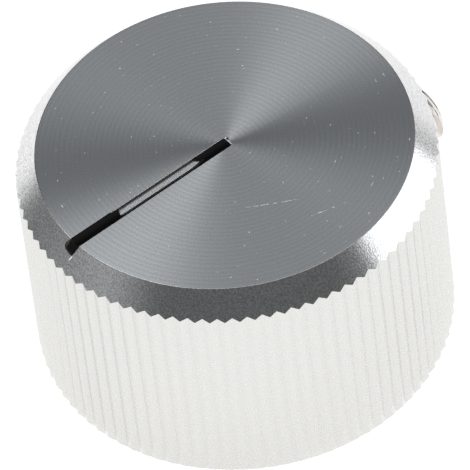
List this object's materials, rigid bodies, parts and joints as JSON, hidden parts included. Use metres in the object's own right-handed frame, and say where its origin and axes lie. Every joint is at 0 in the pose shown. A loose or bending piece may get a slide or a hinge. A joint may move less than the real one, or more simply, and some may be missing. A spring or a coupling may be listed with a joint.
{
  "type": "potentiometer knob",
  "caption": "Round turned aluminium control knob with a fluted side, polished chamfer, spun top, black-filled pointer slot and a side grub screw that clamps a round shaft.",
  "frame": {"origin": "the shaft's axis at the plane of the base", "axes": "+Z along the shaft's axis from the base to the top face, -Y along the pointer, +Y along the grub screw to its outer end"},
  "size_m": [0.025, 0.0272, 0.0152],
  "materials": {
    "aluminium": "turned: spun top face, polished chamfer, satin fluted side",
    "steel": "bright zinc-plated thread",
    "enamel": "black enamel fill"
  },
  "bodies": {
    "root": {"knob_body": "aluminium", "grub_screw": "steel", "pointer_paint": "enamel"}
  },
  "joints": []
}
